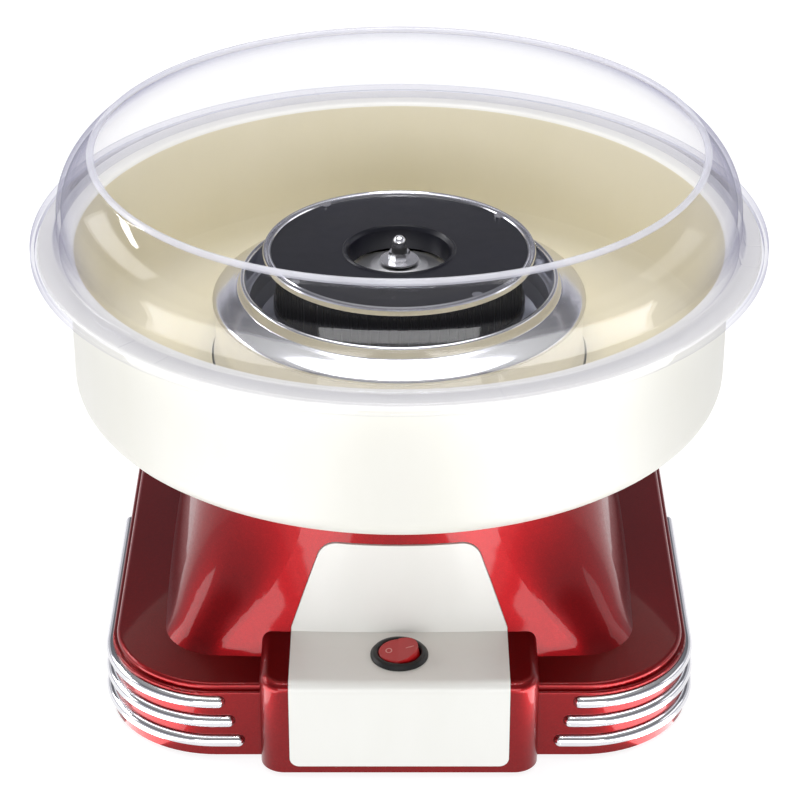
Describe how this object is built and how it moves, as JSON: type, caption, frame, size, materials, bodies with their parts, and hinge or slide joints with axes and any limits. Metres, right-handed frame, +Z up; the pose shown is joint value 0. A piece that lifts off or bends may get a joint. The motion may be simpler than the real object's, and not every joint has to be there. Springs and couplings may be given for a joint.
{
  "type": "cotton candy machine",
  "caption": "Table-top cotton candy machine: square flared base with a rocker switch, spinning heated head, round bowl and clear splash guard.",
  "frame": {"origin": "on the floss head's axis at the plane the rubber feet stand on", "axes": "+Z up along the head's axis, -Y towards the control pod at the front, +X to the right seen from the front"},
  "size_m": [0.3104, 0.3104, 0.2257],
  "materials": {
    "red_lacquer": "gloss, fine metallic flake",
    "cream_plastic": "gloss",
    "offwhite_plastic": "gloss",
    "clear_plastic": "clear, polished",
    "chrome_trim": "mirror",
    "polished_aluminium": "polished",
    "spun_aluminium": "satin",
    "black_enamel": "satin",
    "dark_mesh": "dark, satin",
    "steel": "zinc plated",
    "bright_steel": "polished",
    "black_plastic": "gloss",
    "grey_plastic": "fine texture",
    "rocker_red": "gloss",
    "rubber": "matt",
    "brass": "plain",
    "bronze": "sintered",
    "element_sheath": "heat darkened",
    "ceramic": "unglazed",
    "ferrite": "matt",
    "iron_core": "laminated",
    "copper": "turned",
    "nylon": "moulded",
    "wire_sheath": "soft",
    "circuit_board": "lacquered"
  },
  "bodies": {
    "housing": {"base_shell": "red_lacquer", "column_shell": "red_lacquer", "control_pod": "red_lacquer", "control_panel": "offwhite_plastic", "bottom_plate": "grey_plastic", "rubber_feet": "rubber", "bottom_screws": "steel", "cord_gland": "black_plastic", "switch_body": "black_plastic", "switch_terminals": "brass", "collar": "polished_aluminium", "heat_reflector": "spun_aluminium", "reflector_screws": "steel", "heating_element": "element_sheath", "element_posts": "ceramic", "thermal_cutout": "steel", "motor_bracket": "steel", "motor_dampers": "rubber", "bracket_screws": "steel", "motor_screws": "steel", "motor_can": "steel", "motor_end_bell": "grey_plastic", "upper_bearing": "bronze", "lower_bearing": "bronze", "motor_magnets": "ferrite", "terminal_block": "ceramic", "rectifier_board": "circuit_board", "internal_wiring": "wire_sheath", "trim_left_bottom": "chrome_trim", "trim_left_middle": "chrome_trim", "trim_left_top": "chrome_trim", "trim_right_bottom": "chrome_trim", "trim_right_middle": "chrome_trim", "trim_right_top": "chrome_trim"},
    "spindle": {"motor_shaft": "bright_steel", "drive_pin": "bright_steel", "rotor_core": "iron_core", "commutator": "copper", "cooling_fan": "nylon", "fan_clip": "steel"},
    "floss_head": {"head_pan": "spun_aluminium", "mesh_band": "dark_mesh", "cage_straps": "dark_mesh", "head_cover": "black_enamel", "head_rim": "polished_aluminium", "head_hub": "bright_steel", "seal_washer": "rubber", "flange_washer": "bright_steel", "hex_nut": "bright_steel", "lock_ring": "rubber"},
    "bowl": {"bowl_rim": "cream_plastic", "bowl_side": "cream_plastic", "bowl_foot": "cream_plastic", "bowl_slope": "cream_plastic", "bowl_hub": "cream_plastic"},
    "splash_guard": {"guard_flange": "clear_plastic", "guard_wall": "clear_plastic"},
    "rocker": {"rocker": "rocker_red"}
  },
  "joints": [
    {"name": "head_spin", "type": "hinge", "parent": "housing", "child": "spindle", "pos_m": [0, 0, 0.1], "axis": [0, 0, 1], "continuous": true},
    {"name": "head_lift", "type": "slide", "parent": "spindle", "child": "floss_head", "axis": [0, 0, 1], "range_m": [0, 0.06]},
    {"name": "bowl_lift", "type": "slide", "parent": "housing", "child": "bowl", "axis": [0, 0, 1], "range_m": [0, 0.09]},
    {"name": "guard_lift", "type": "slide", "parent": "bowl", "child": "splash_guard", "axis": [0, 0, 1], "range_m": [0, 0.06]},
    {"name": "rocker_tilt", "type": "hinge", "parent": "housing", "child": "rocker", "pos_m": [0, -0.1144, 0.0466], "axis": [0, 1, 0], "range_deg": [0, 22]}
  ]
}
